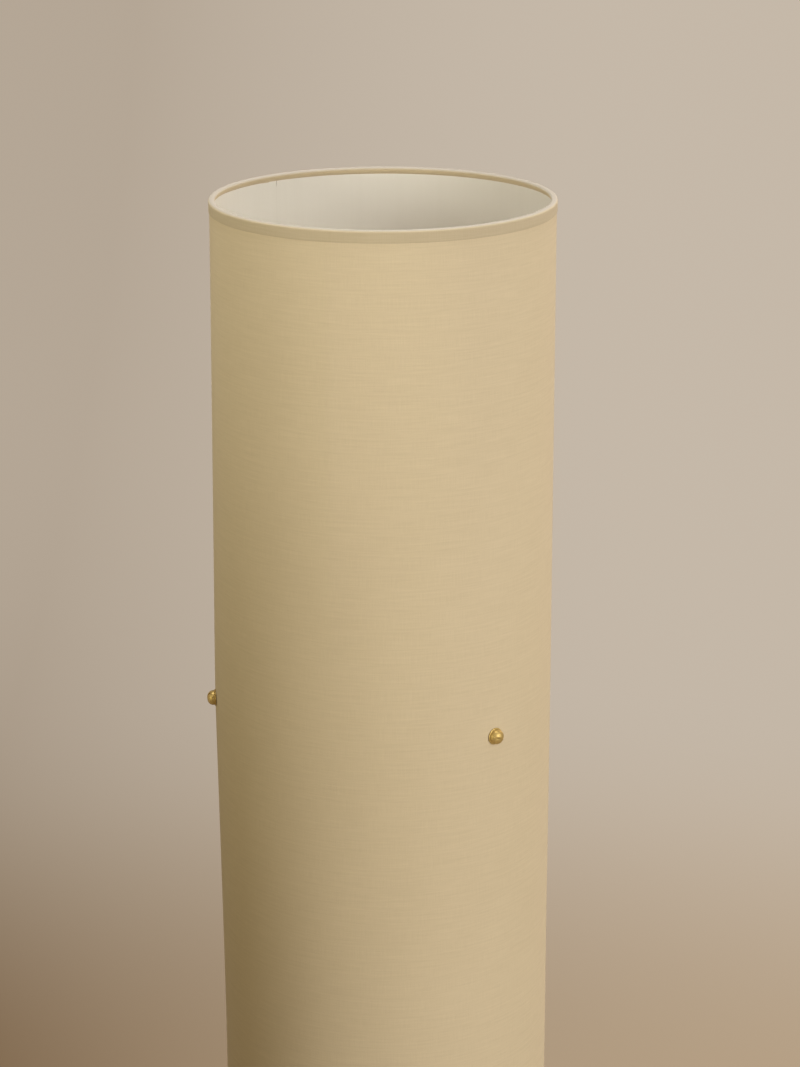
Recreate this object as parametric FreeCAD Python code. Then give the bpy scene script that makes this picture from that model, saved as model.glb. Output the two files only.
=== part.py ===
import FreeCAD, Part
import math
import os
from FreeCAD import Vector

# Column floor lamp: a tall cloth cylinder carried by three arms on a stem and a
# weighted base.  Millimetres; the origin is on the floor under the stem's axis,
# +Z is up and the front is -Y.  An azimuth is counted from the front towards +X.

# ---------------------------------------------------------------- driving sizes
LAMP_HEIGHT = 1200.0
SHADE_DIAMETER = 250.0            # over the hem tapes
SHADE_BOTTOM = 16.0               # underside of the lower hem above the floor
TAPE = 0.5                        # thickness of the hem tape
CLOTH = 0.5
LINER = 0.8
HEM_DEPTH = 9.0                   # how far the hem tape comes down the outside
HEM_CORNER = 2.0                  # outer rounding of the rim
WIRE_RADIUS = 2.0                 # shade rings
SCREW_DROP = 375.0                # from the rim down to the three shade screws
SCREW_AZIMUTH = {"right": 60.0, "left": -60.0, "back": 180.0}
SCREW_TURN = {"right": 23.0, "left": 70.0, "back": -35.0}   # where each slot stops
BULGE = 3.2                       # how far an arm presses the shade outwards
BULGE_UP = 364.0                  # the bulge fades over this height above a screw
BULGE_DOWN = 280.0                # and over this depth below it
CREST = 0.06                      # rounding of the bulge's crest

STEM_RADIUS = 8.0
STEM_WALL = 1.5
ARM_RADIUS = 3.0
BOSS_RADIUS = 5.0
BOSS_LENGTH = 16.0
BASE_RADIUS = 112.0
BASE_THICKNESS = 17.0
FELT = 3.0
FELT_RADIUS = 110.0
CHANNEL = 11.0                    # width and height of the cord channel
FLEX_RADIUS = 3.0
FLEX_BEND = 11.0
BUSH_BORE = 3.6                   # radius

M3, M4, M5 = 1.5, 2.0, 2.5        # thread radii
M10 = 5.0
FIT = 0.05                        # radial play of seated and threaded pieces
PLAY = 0.25                       # gap between the shade and what bears on it
HEAD_RADIUS = 5.5
HEAD_HEIGHT = 5.5
WASHER_RADIUS = 6.25
WASHER = 0.7
SCREW_LENGTH = 11.7
BULB_RADIUS = 30.0

# ---------------------------------------------------------------- worked out
HEM_RADIUS = SHADE_DIAMETER / 2
CLOTH_RADIUS = HEM_RADIUS - TAPE
BOND_RADIUS = CLOTH_RADIUS - CLOTH
LINER_RADIUS = BOND_RADIUS - LINER
SCREW_HEIGHT = LAMP_HEIGHT - SCREW_DROP
WALL_TOP = LAMP_HEIGHT - HEM_CORNER - 0.1
WALL_BOTTOM = SHADE_BOTTOM + HEM_CORNER + 0.1
RING_CLEAR = 0.15                 # tape to wire
RING_RADIUS = LINER_RADIUS - WIRE_RADIUS - PLAY
BASE_TOP = FELT + BASE_THICKNESS
CORD_HEIGHT = FELT + CHANNEL / 2

HUB_BOTTOM = SCREW_HEIGHT - 19.0
HUB_SHOULDER = SCREW_HEIGHT - 5.0
HUB_TOP = SCREW_HEIGHT + 5.0
STEM_TOP = SCREW_HEIGHT - 4.1
NUT_HEIGHT = 3.5
HOLDER = HUB_TOP + NUT_HEIGHT     # underside of the lampholder
CONTACT_TOP = HOLDER + 34.5


# ---------------------------------------------------------------- helpers
def outward(azimuth):
    """Unit vector that points away from the stem's axis."""
    a = math.radians(azimuth)
    return Vector(math.sin(a), -math.cos(a), 0)


def turned(points):
    """Revolve a closed (radius, height) outline about Z."""
    corners = [Vector(r, 0, z) for r, z in points]
    face = Part.Face(Part.makePolygon(corners + corners[:1]))
    return face.revolve(Vector(0, 0, 0), Vector(0, 0, 1), 360)


def arc_point(centre, radius, degrees):
    """The point of a circle in (radius, height) coordinates."""
    a = math.radians(degrees)
    return (centre[0] + radius * math.cos(a), centre[1] + radius * math.sin(a))


def bend(centre, radius, first, last, chords):
    """Points round a curve of an outline, turned as that many short tapers."""
    step = (last - first) / chords
    return [arc_point(centre, radius, first + step * i) for i in range(chords + 1)]


def rod(radius, bottom, top):
    """A plain upright cylinder on the stem's axis."""
    return Part.makeCylinder(radius, top - bottom, Vector(0, 0, bottom))


def tube(outer, inner, bottom, top):
    """An upright ring or tube on the stem's axis."""
    return rod(outer, bottom, top).cut(rod(inner, bottom - 1, top + 1))


def hexagon(across_flats, bottom, top):
    """An upright hexagonal prism on the stem's axis."""
    corner = across_flats / math.sqrt(3)
    points = []
    for i in range(7):
        a = math.radians(60 * i)
        points.append(Vector(corner * math.cos(a), corner * math.sin(a), bottom))
    return Part.Face(Part.makePolygon(points)).extrude(Vector(0, 0, top - bottom))


def on_arm(shape, azimuth, height=SCREW_HEIGHT):
    """Turn a shape made along +Z so that +Z points outwards at an azimuth, local +Y up."""
    z_axis = outward(azimuth)
    y_axis = Vector(0, 0, 1)
    x_axis = y_axis.cross(z_axis)
    placed = shape.copy()
    frame = FreeCAD.Placement(
        Vector(0, 0, height), FreeCAD.Rotation(x_axis, y_axis, z_axis, "ZXY"))
    placed.Placement = frame.multiply(shape.Placement)
    return placed


def grub_screw(radius, length):
    """A headless screw along +Z with a hexagon socket in its outer end."""
    body = Part.makeCylinder(radius, length)
    socket = hexagon(radius, length - 1.8, length + 1)
    return body.cut(socket)


def cut_all(shape, tools):
    """Cut several tools out of a shape."""
    for tool in tools:
        shape = shape.cut(tool)
    return shape


# ---------------------------------------------------------------- the shade
def bulge(azimuth, height):
    """How far the arms push the laminate outwards there: a tent at each screw's height."""
    around = 0.5 + 0.5 * math.cos(math.radians(3 * (azimuth - SCREW_AZIMUTH["right"])))
    if height > SCREW_HEIGHT:
        away = (height - SCREW_HEIGHT) / BULGE_UP
    else:
        away = (SCREW_HEIGHT - height) / BULGE_DOWN
    rounded = (math.hypot(away, CREST) - CREST) / (math.hypot(1, CREST) - CREST)
    return BULGE * around * max(0.0, 1 - rounded) ** 1.25


def wall_section(radius, height):
    """The laminate's closed section at a height."""
    count = 24
    points = []
    for i in range(count):
        azimuth = 360.0 * i / count
        points.append(outward(azimuth) * (radius + bulge(azimuth, height)) + Vector(0, 0, height))
    curve = Part.BSplineCurve()
    curve.interpolate(points, PeriodicFlag=True)
    return Part.Wire([curve.toShape()])


def wall(outer, inner):
    """The thin upright wall between two skins that share their bulge."""
    steps = (0, 0.1, 0.4, 1)
    heights = [WALL_BOTTOM]
    heights += [SCREW_HEIGHT - BULGE_DOWN * step for step in reversed(steps[1:])]
    heights += [SCREW_HEIGHT + BULGE_UP * step for step in steps]
    heights += [WALL_TOP]
    skins = [Part.makeLoft([wall_section(radius, z) for z in heights], True, True)
             for radius in (outer, inner)]
    shape = skins[0].cut(skins[1])
    for azimuth in SCREW_AZIMUTH.values():
        hole = rod(M4 + 0.3, CLOTH_RADIUS - 14, CLOTH_RADIUS + 16)
        shape = shape.cut(on_arm(hole, azimuth))
    return shape


def shade_cloth():
    return wall(CLOTH_RADIUS, BOND_RADIUS)


def shade_liner():
    return wall(BOND_RADIUS, LINER_RADIUS)


def both_ends(points):
    """A piece turned at the rim, and the same piece upside down at the lower hem."""
    lower = [(r, LAMP_HEIGHT + SHADE_BOTTOM - z) for r, z in reversed(points)]
    return Part.makeCompound([turned(points), turned(lower)])


ROLL = (RING_RADIUS, LAMP_HEIGHT - TAPE - RING_CLEAR - WIRE_RADIUS)   # centre of the top ring


def shade_rings():
    return both_ends(bend(ROLL, WIRE_RADIUS, 0, 324, 9))


def hem_tapes():
    """Cloth tape from the outside of the wall, over the rim and round the ring."""
    sides = 4
    under = (WIRE_RADIUS + RING_CLEAR / 2) / math.cos(math.pi / (2 * sides))
    corner = (HEM_RADIUS - HEM_CORNER, LAMP_HEIGHT - HEM_CORNER)
    tucked = LINER_RADIUS - 0.1
    points = [(HEM_RADIUS, LAMP_HEIGHT - HEM_DEPTH)]
    points += bend(corner, HEM_CORNER, 0, 90, 2)
    points += bend(ROLL, under + TAPE, 90, 270, sides)
    points += [(tucked, ROLL[1] - under - TAPE), (tucked, ROLL[1] - under)]
    points += bend(ROLL, under, 270, 90, sides)
    points += [(corner[0], ROLL[1] + under), (CLOTH_RADIUS, corner[1])]
    points += [(CLOTH_RADIUS, LAMP_HEIGHT - HEM_DEPTH)]
    return both_ends(points)


# ---------------------------------------------------------------- shade screws
def washer(side):
    seat = CLOTH_RADIUS + BULGE + PLAY
    return on_arm(tube(WASHER_RADIUS, M4 + 0.15, seat, seat + WASHER), SCREW_AZIMUTH[side])


def shade_screw(side):
    """Slotted screw with a thick round-edged head, its slot left at its own angle."""
    seat = CLOTH_RADIUS + BULGE + PLAY + WASHER + FIT
    face = seat + HEAD_HEIGHT
    edge, foot, slot = 1.6, 0.4, (1.4, 2.0)
    body = turned([
        (0, seat - SCREW_LENGTH),
        (M4, seat - SCREW_LENGTH),
        (M4, seat),
        (HEAD_RADIUS - foot, seat),
        (HEAD_RADIUS, seat + foot)]
        + bend((HEAD_RADIUS - edge, face - edge), edge, 0, 90, 3)
        + [(0, face)])
    groove = Part.makeBox(4 * HEAD_RADIUS, slot[0], slot[1] + 1,
                          Vector(-2 * HEAD_RADIUS, -slot[0] / 2, face - slot[1]))
    groove.rotate(Vector(0, 0, 0), Vector(0, 0, 1), SCREW_TURN[side])
    return on_arm(body.cut(groove), SCREW_AZIMUTH[side])


# ---------------------------------------------------------------- arms and hub
BOSS_FACE = LINER_RADIUS + BULGE - PLAY
BOSS_BACK = BOSS_FACE - BOSS_LENGTH
SOCKET = 5.0                      # how deep an arm sits in its boss
ARM_ROOT = 12.0                   # where an arm ends inside the hub


def on_each_arm(shape):
    """The same piece on all three arms."""
    return Part.makeCompound([on_arm(shape, azimuth) for azimuth in SCREW_AZIMUTH.values()])


def arms():
    return on_each_arm(rod(ARM_RADIUS, ARM_ROOT, BOSS_BACK + SOCKET))


def arm_bosses():
    """Turned bosses: brazed on the arms at the back, tapped for the screws in front."""
    bevel = 0.8
    body = turned([
        (0, BOSS_BACK),
        (BOSS_RADIUS - bevel, BOSS_BACK),
        (BOSS_RADIUS, BOSS_BACK + bevel),
        (BOSS_RADIUS, BOSS_FACE - bevel),
        (BOSS_RADIUS - bevel, BOSS_FACE),
        (0, BOSS_FACE)])
    socket = rod(ARM_RADIUS + FIT, BOSS_BACK - 1, BOSS_BACK + SOCKET)
    tapping = rod(M4 + FIT, BOSS_FACE - 10.0, BOSS_FACE + 1)
    return on_each_arm(cut_all(body, [socket, tapping]))


HUB_RADIUS = 20.0
NECK_RADIUS = 13.0
HUB_GRUB = SCREW_HEIGHT - 13.0    # height of the grub screw in the hub's neck


def arm_hub():
    """Turned hub: stem socket below, nipple hole above, three radial arm sockets."""
    blend, edge = 3.0, 1.0
    body = turned([
        (0, HUB_BOTTOM),
        (NECK_RADIUS - edge, HUB_BOTTOM),
        (NECK_RADIUS, HUB_BOTTOM + edge),
        (NECK_RADIUS, HUB_SHOULDER - blend),
        (NECK_RADIUS + blend, HUB_SHOULDER),
        (HUB_RADIUS - edge, HUB_SHOULDER),
        (HUB_RADIUS, HUB_SHOULDER + edge),
        (HUB_RADIUS, HUB_TOP - edge),
        (HUB_RADIUS - edge, HUB_TOP),
        (0, HUB_TOP)])
    tools = [rod(STEM_RADIUS + FIT, HUB_BOTTOM - 1, STEM_TOP + 0.1),
             rod(M10 + 0.1, STEM_TOP, HUB_TOP + 1)]
    for azimuth in SCREW_AZIMUTH.values():
        tools.append(on_arm(rod(ARM_RADIUS + FIT, ARM_ROOT, HUB_RADIUS + 1), azimuth))
    tools.append(on_arm(rod(M4 + FIT, STEM_RADIUS - 1, NECK_RADIUS + 1), 0, HUB_GRUB))
    return cut_all(body, tools)


def seated_grub(azimuth, height):
    """A grub screw that bears on the stem."""
    screw = grub_screw(M4, 4.6)
    screw.translate(Vector(0, 0, STEM_RADIUS + FIT))
    return on_arm(screw, azimuth, height)


# ---------------------------------------------------------------- stem
def stem_tube():
    return tube(STEM_RADIUS, STEM_RADIUS - STEM_WALL, BASE_TOP, STEM_TOP)


def stem_top_insert():
    """Threaded insert in the stem's mouth, for the nipple."""
    return tube(STEM_RADIUS - STEM_WALL - FIT, M10 + FIT, STEM_TOP - 14.0, STEM_TOP)


def stem_nipple():
    """Hollow all-thread that ties stem, hub and lampholder together."""
    return tube(M10, M10 - 1.0, STEM_TOP - 13.0, HOLDER + 8.0)


def hub_lock_nut():
    nut = hexagon(14.0, HUB_TOP, HOLDER)
    return nut.cut(rod(M10 + FIT, HUB_TOP - 1, HOLDER + 1))


FLANGE_RADIUS = 32.0
FLANGE = 4.0
FLANGE_TOP = BASE_TOP + 20.0
FLANGE_PITCH = 23.0               # radius of the screw circle
FLANGE_SCREWS = (0, 120, 240)
FLANGE_GRUB = (60, BASE_TOP + 12.0)


def stem_flange():
    """Turned foot of the stem: a disc on the base and a socket round the tube."""
    blend, edge = 4.0, 1.0
    disc = BASE_TOP + FLANGE
    body = turned([
        (0, BASE_TOP),
        (FLANGE_RADIUS, BASE_TOP),
        (FLANGE_RADIUS, disc - edge),
        (FLANGE_RADIUS - edge, disc),
        (NECK_RADIUS + blend, disc),
        (NECK_RADIUS, disc + blend),
        (NECK_RADIUS, FLANGE_TOP - edge),
        (NECK_RADIUS - edge, FLANGE_TOP),
        (0, FLANGE_TOP)])
    tools = [rod(STEM_RADIUS + FIT, BASE_TOP - 1, FLANGE_TOP + 1)]
    for azimuth in FLANGE_SCREWS:
        hole = rod(M5 + 0.25, BASE_TOP - 1, disc + 1)
        tools.append(hole.translated(outward(azimuth) * FLANGE_PITCH))
    azimuth, height = FLANGE_GRUB
    tools.append(on_arm(rod(M4 + FIT, STEM_RADIUS - 1, NECK_RADIUS + 1), azimuth, height))
    return cut_all(body, tools)


def flange_screws():
    """Three hexagon-socket button-head screws."""
    seat = BASE_TOP + FLANGE
    height = 2.75
    radius = 4.75
    screw = turned([
        (0, seat - 12.0),
        (M5, seat - 12.0),
        (M5, seat),
        (radius, seat),
        (radius, seat + 0.5),
        (radius - 0.9, seat + 1.9),
        (2.4, seat + height),
        (0, seat + height)])
    screw = screw.cut(hexagon(3.0, seat + 1.0, seat + height + 1))
    return Part.makeCompound([screw.translated(outward(a) * FLANGE_PITCH) for a in FLANGE_SCREWS])


def grub_screws():
    """One in the hub's neck and one in the flange's."""
    return Part.makeCompound([seated_grub(0, HUB_GRUB), seated_grub(*FLANGE_GRUB)])


# ---------------------------------------------------------------- base
GRIP_PLACE = 89.0                 # distance of the cord grip from the stem's axis
GRIP_PITCH = 10.0                 # each grip screw's distance from the cord
GRIP_SIZE = (28.0, 9.0, 2.1)
GRIP_RECESS = 3.0
HOLE_RADIUS = 7.0
WELL_RADIUS = 9.0


def base_weight():
    """Steel disc with a cord channel milled in its underside, from the rim to the middle."""
    edge, bevel, flare = 2.5, 0.6, 1.5
    roof = FELT + CHANNEL
    body = turned([
        (0, FELT),
        (BASE_RADIUS - bevel, FELT),
        (BASE_RADIUS, FELT + bevel),
        *bend((BASE_RADIUS - edge, BASE_TOP - edge), edge, 0, 90, 2),
        (0, BASE_TOP)])
    channel = Part.makeBox(CHANNEL, BASE_RADIUS + 5, CHANNEL, Vector(-CHANNEL / 2, 0, FELT))
    well = rod(WELL_RADIUS, FELT - 1, roof)
    hole = rod(HOLE_RADIUS, roof - 1, BASE_TOP + 1)
    throat = Part.makeCone(HOLE_RADIUS + flare, HOLE_RADIUS, flare, Vector(0, 0, roof))
    recess = Part.makeBox(GRIP_SIZE[0] + 1, GRIP_SIZE[1] + 1, GRIP_RECESS,
                          Vector(-GRIP_SIZE[0] / 2 - 0.5, GRIP_PLACE - GRIP_SIZE[1] / 2 - 0.5, FELT))
    tools = [channel, well, hole, throat, recess]
    for x in (-GRIP_PITCH, GRIP_PITCH):
        tools.append(rod(M3 + FIT, FELT, FELT + 10).translated(Vector(x, GRIP_PLACE, 0)))
    for azimuth in FLANGE_SCREWS:
        tapping = rod(M5 + FIT, BASE_TOP - 9.0, BASE_TOP + 1)
        tools.append(tapping.translated(outward(azimuth) * FLANGE_PITCH))
    return cut_all(body, tools)


def felt_pad():
    return rod(FELT_RADIUS, 0, FELT)


def cord_bush():
    """Rubber bush in the channel's mouth, with a collar outside the rim."""
    back, rim, collar = BASE_RADIUS - 6.0, BASE_RADIUS + 0.2, 2.0
    edge = 0.7
    wide = CHANNEL / 2 + 1.3
    bush = turned([
        (BUSH_BORE, back),
        (CHANNEL / 2 - FIT, back),
        (CHANNEL / 2 - FIT, rim),
        (wide, rim),
        (wide, rim + collar - edge),
        (wide - edge, rim + collar),
        (BUSH_BORE, rim + collar)])
    return on_arm(bush, 180, CORD_HEIGHT)


def grip_hole(x):
    """Countersunk hole in the grip, flush with its underside."""
    low = FELT + 0.3
    cone = Part.makeCone(M3 + 1.5, M3 + 0.2, 1.5, Vector(x, GRIP_PLACE, low))
    return cone.fuse(rod(M3 + 0.2, low, low + 5).translated(Vector(x, GRIP_PLACE, 0)))


def cord_grip():
    """Steel bar across the channel that clamps the cord from below."""
    length, width, thick = GRIP_SIZE
    low = FELT + 0.3
    bar = Part.makeBox(length, width, thick, Vector(-length / 2, GRIP_PLACE - width / 2, low))
    upright = [e for e in bar.Edges if abs(e.tangentAt(e.FirstParameter).z) > 0.9]
    bar = bar.makeFillet(3.0, upright)
    return cut_all(bar, [grip_hole(-GRIP_PITCH), grip_hole(GRIP_PITCH)])


def cord_grip_screws():
    """Two countersunk screws that hold the grip."""
    low = FELT + 0.4
    screw = turned([(0, low), (M3 + 1.3, low), (M3, low + 1.4), (M3, low + 9.0), (0, low + 9.0)])
    slot = Part.makeBox(8, 0.8, 0.7, Vector(-4, -0.4, low))
    screw = screw.cut(slot)
    return Part.makeCompound([screw.translated(Vector(x, GRIP_PLACE, 0))
                              for x in (-GRIP_PITCH, GRIP_PITCH)])


FLEX_END = HOLDER + 11.0


def inner_flex():
    """Round flex from the grip along the channel and up the stem."""
    start = Vector(0, GRIP_PLACE + 8, CORD_HEIGHT)
    turn = Vector(0, FLEX_BEND, CORD_HEIGHT)
    lift = Vector(0, 0, CORD_HEIGHT + FLEX_BEND)
    bend = arc_point((FLEX_BEND, CORD_HEIGHT + FLEX_BEND), FLEX_BEND, 225)
    edges = [Part.LineSegment(start, turn).toShape(),
             Part.Arc(turn, Vector(0, bend[0], bend[1]), lift).toShape(),
             Part.LineSegment(lift, Vector(0, 0, FLEX_END)).toShape()]
    section = Part.Wire([Part.makeCircle(FLEX_RADIUS, start, Vector(0, 1, 0))])
    return Part.Wire(edges).makePipeShell([section], True, False)


def flex_cores():
    """The flex's two cores, spread apart to the lampholder's terminals."""
    near, far, rise, radius = 1.3, 8.0, 12.0, 1.1
    cores = []
    for side in (-1, 1):
        start = Vector(side * near, 0, FLEX_END + 0.8)
        end = Vector(side * far, 0, FLEX_END + rise)
        cores.append(Part.makeCylinder(radius, (end - start).Length, start, end - start))
    return Part.makeCompound(cores)


# ---------------------------------------------------------------- lampholder
HOLDER_RADIUS = 19.0
HOLDER_WALL = 1.6
CORE_BOTTOM = FLEX_END + 12.8
CORE_TOP = CORE_BOTTOM + 8.0
CAP_TOP = HOLDER + 27.5
SKIRT_TOP = CAP_TOP + 31.0
THREAD_RADIUS = 13.1              # inside the lampholder's threaded shell


def holder_cap():
    """Lower half of the lampholder: a threaded neck that opens into a cup."""
    inside = HOLDER_RADIUS - HOLDER_WALL
    neck, deep = 8.5, 8.5
    spread = HOLDER + 21.0
    return turned([
        (M10 + FIT, HOLDER),
        (neck, HOLDER),
        (neck, HOLDER + deep),
        (neck + 3.4, HOLDER + deep + 1.9),
        (neck + 8.2, HOLDER + deep + 6.6),
        (HOLDER_RADIUS, spread),
        (HOLDER_RADIUS, CAP_TOP),
        (inside, CAP_TOP),
        (inside, spread),
        (neck + 2.4, HOLDER + deep + 3.7),
        (M10 + FIT, HOLDER + deep + 1.5)])


def holder_skirt():
    """Upper half: a plain skirt with a collar at the joint and a rolled lip."""
    inside = HOLDER_RADIUS - HOLDER_WALL
    low = CAP_TOP + 0.1
    collar, lip = 0.9, 0.7
    return turned([
        (inside, low),
        (HOLDER_RADIUS + collar, low),
        (HOLDER_RADIUS + collar, low + 3.0),
        (HOLDER_RADIUS, low + 4.0),
        (HOLDER_RADIUS, SKIRT_TOP - 2.0),
        (HOLDER_RADIUS + lip, SKIRT_TOP - 1.2),
        (HOLDER_RADIUS + lip, SKIRT_TOP),
        (inside, SKIRT_TOP)])


def holder_core():
    """Ceramic core that carries the contacts."""
    radius = HOLDER_RADIUS - HOLDER_WALL - 0.2
    body = turned([
        (0, CORE_BOTTOM),
        (radius, CORE_BOTTOM),
        (radius, CORE_TOP - 3.0),
        (radius - 2.0, CORE_TOP - 3.0),
        (radius - 2.0, CORE_TOP),
        (0, CORE_TOP)])
    return body


def holder_thread_shell():
    """Drawn metal shell that the bulb's cap screws into (threads left plain)."""
    wall_thick = 0.5
    return turned([
        (6.5, CORE_TOP),
        (THREAD_RADIUS + wall_thick, CORE_TOP),
        (THREAD_RADIUS + wall_thick, CORE_TOP + 18.0),
        (THREAD_RADIUS, CORE_TOP + 18.0),
        (THREAD_RADIUS, CORE_TOP + wall_thick),
        (6.5, CORE_TOP + wall_thick)])


def holder_contact():
    """Sprung centre contact."""
    return turned([
        (0, CORE_TOP),
        (4.0, CORE_TOP),
        (4.0, CORE_TOP + 0.4),
        (2.0, CONTACT_TOP),
        (0, CONTACT_TOP)])


# ---------------------------------------------------------------- bulb
TIP_BOTTOM = CONTACT_TOP + 0.1
CAP_BOTTOM = TIP_BOTTOM + 4.8
CAP_RADIUS = THREAD_RADIUS - FIT
CAP_END = TIP_BOTTOM + 24.0
COLLAR_END = CAP_END + 26.0
BULB_TOP = TIP_BOTTOM + 108.0
BULB_CENTRE = BULB_TOP - BULB_RADIUS
COLLAR_RADIUS = 22.5
GLASS = 1.2


def bulb_tip():
    return turned([
        (0, TIP_BOTTOM),
        (2.0, TIP_BOTTOM),
        (4.6, TIP_BOTTOM + 1.2),
        (4.6, TIP_BOTTOM + 2.2),
        (0, TIP_BOTTOM + 2.2)])


def bulb_insulator():
    low = TIP_BOTTOM + 2.25
    return turned([
        (0, low),
        (5.5, low),
        (6.9, CAP_BOTTOM - 0.2),
        (6.9, CAP_BOTTOM + 2.0),
        (0, CAP_BOTTOM + 2.0)])


def bulb_cap():
    """Thin screw cap of the bulb (threads left plain)."""
    wall_thick = 0.5
    return turned([
        (7.0, CAP_BOTTOM),
        (CAP_RADIUS, CAP_BOTTOM + 3.0),
        (CAP_RADIUS, CAP_END),
        (CAP_RADIUS - wall_thick, CAP_END),
        (CAP_RADIUS - wall_thick, CAP_BOTTOM + 3.3),
        (7.0, CAP_BOTTOM + 0.7)])


def bulb_collar():
    """Plastic housing between cap and envelope, with a spigot down into the cap."""
    spigot = CAP_RADIUS - 0.6
    wall_thick = 1.8
    rise = COLLAR_END - CAP_END
    flare = [(14.4, CAP_END + 0.25 * rise), (17.3, CAP_END + 0.6 * rise), (COLLAR_RADIUS, COLLAR_END)]
    return turned([
        (spigot, CAP_END - 7.0),
        (spigot, CAP_END + 0.1),
        (CAP_RADIUS + 0.4, CAP_END + 0.1),
        *flare,
        *[(r - wall_thick, z) for r, z in reversed(flare[1:])],
        (spigot - wall_thick, CAP_END + 1.0),
        (spigot - wall_thick, CAP_END - 7.0)])


def bulb_led_plate():
    """Round circuit board with its light emitters, inside the envelope's mouth."""
    return rod(COLLAR_RADIUS - 4.0, COLLAR_END - 2.0, COLLAR_END - 0.6)


def envelope_side(radius, mouth, chords):
    """From the mouth up the tapering neck to the widest circle, then over the half sphere."""
    drop = BULB_CENTRE - COLLAR_END - 0.1
    centre = (mouth ** 2 + drop ** 2 - radius ** 2) / (2 * (mouth - radius))
    reach = radius - centre
    lean = math.degrees(math.asin(drop / reach))
    return (bend((centre, BULB_CENTRE), reach, -lean, 0, chords)
            + bend((0, BULB_CENTRE), radius, 0, 90, 2 * chords)[1:])


def bulb_envelope():
    """Opal envelope: a half sphere over a tapering neck."""
    mouth = COLLAR_RADIUS - 0.2
    outside = envelope_side(BULB_RADIUS, mouth, 3)
    inside = envelope_side(BULB_RADIUS - GLASS, mouth - GLASS, 2)
    return turned(outside + inside[::-1])


# ---------------------------------------------------------------- write the parts
def all_parts():
    parts = {
        "shade_cloth": shade_cloth(),
        "shade_liner": shade_liner(),
        "shade_rings": shade_rings(),
        "hem_tapes": hem_tapes(),
        "arms": arms(),
        "arm_bosses": arm_bosses(),
        "arm_hub": arm_hub(),
        "hub_lock_nut": hub_lock_nut(),
        "grub_screws": grub_screws(),
        "stem_tube": stem_tube(),
        "stem_top_insert": stem_top_insert(),
        "stem_nipple": stem_nipple(),
        "stem_flange": stem_flange(),
        "flange_screws": flange_screws(),
        "base_weight": base_weight(),
        "felt_pad": felt_pad(),
        "cord_bush": cord_bush(),
        "cord_grip": cord_grip(),
        "cord_grip_screws": cord_grip_screws(),
        "inner_flex": inner_flex(),
        "flex_cores": flex_cores(),
        "holder_cap": holder_cap(),
        "holder_skirt": holder_skirt(),
        "holder_core": holder_core(),
        "holder_thread_shell": holder_thread_shell(),
        "holder_contact": holder_contact(),
        "bulb_tip": bulb_tip(),
        "bulb_insulator": bulb_insulator(),
        "bulb_cap": bulb_cap(),
        "bulb_collar": bulb_collar(),
        "bulb_led_plate": bulb_led_plate(),
        "bulb_envelope": bulb_envelope(),
    }
    for side in SCREW_AZIMUTH:
        parts[side + "_shade_screw"] = shade_screw(side)
        parts[side + "_screw_washer"] = washer(side)
    return parts


def main():
    os.makedirs("parts", exist_ok=True)
    for name, shape in all_parts().items():
        if not shape.isValid():
            raise ValueError(name + " is not a valid shape")
        if shape.Volume <= 0:
            raise ValueError(name + " has no volume")
        shape.exportStep("parts/" + name + ".step")
        print("%-20s %d solid(s)  %10.1f mm3" % (name, len(shape.Solids), shape.Volume))


main()
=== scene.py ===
import math
import bpy
from mathutils import Matrix, Vector, noise


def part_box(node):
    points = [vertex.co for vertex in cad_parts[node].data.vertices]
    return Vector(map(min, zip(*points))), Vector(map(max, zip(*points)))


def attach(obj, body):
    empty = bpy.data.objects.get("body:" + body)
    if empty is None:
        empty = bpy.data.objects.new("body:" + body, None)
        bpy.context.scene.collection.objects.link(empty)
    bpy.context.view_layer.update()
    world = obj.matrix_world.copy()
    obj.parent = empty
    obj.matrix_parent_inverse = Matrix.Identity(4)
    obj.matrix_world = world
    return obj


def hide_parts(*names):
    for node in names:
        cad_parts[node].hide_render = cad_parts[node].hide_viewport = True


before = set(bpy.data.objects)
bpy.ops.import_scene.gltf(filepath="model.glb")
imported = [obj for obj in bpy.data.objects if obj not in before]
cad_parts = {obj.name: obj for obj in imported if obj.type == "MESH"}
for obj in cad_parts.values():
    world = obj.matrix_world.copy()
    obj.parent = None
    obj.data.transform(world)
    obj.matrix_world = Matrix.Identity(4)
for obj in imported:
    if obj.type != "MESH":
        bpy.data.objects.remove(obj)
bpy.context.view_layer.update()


# ---------------------------------------------------------------- The view and the room
# A portrait from two metres away at standing height, a little to the right of the lamp's
# front, looking down over the rim.  The frame, 800 by 1067 pixels, cuts the lamp off below.
FRAME_HEIGHT_PX = 1067
FOCAL_PX = 2855
SENSOR_MM = 36.0
LAMP_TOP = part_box("hem_tapes")[1][2]
VIEW_AZIMUTH = math.radians(21.2)
VIEW_PITCH = math.radians(17.285)
VIEW_ROLL = math.radians(-0.09)
VIEW_DISTANCE = 2.024
VIEW_ASIDE = 0.0118
VIEW_ABOVE_RIM = 0.377

view_back = Vector((math.sin(VIEW_AZIMUTH), -math.cos(VIEW_AZIMUTH), 0))
view_right = Vector((math.cos(VIEW_AZIMUTH), math.sin(VIEW_AZIMUTH), 0))
view = bpy.data.cameras.new("view")
view.sensor_width = SENSOR_MM
view.lens = SENSOR_MM * FOCAL_PX / FRAME_HEIGHT_PX
camera = bpy.data.objects.new("camera", view)
camera.location = (view_back * VIEW_DISTANCE + view_right * VIEW_ASIDE
                   + Vector((0, 0, LAMP_TOP + VIEW_ABOVE_RIM)))
turn_of_view = (Matrix.Rotation(VIEW_AZIMUTH, 4, "Z") @ Matrix.Rotation(math.pi / 2 - VIEW_PITCH, 4, "X")
                @ Matrix.Rotation(VIEW_ROLL, 4, "Z"))
camera.rotation_euler = turn_of_view.to_euler()
bpy.context.collection.objects.link(camera)
bpy.context.scene.camera = camera
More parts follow.
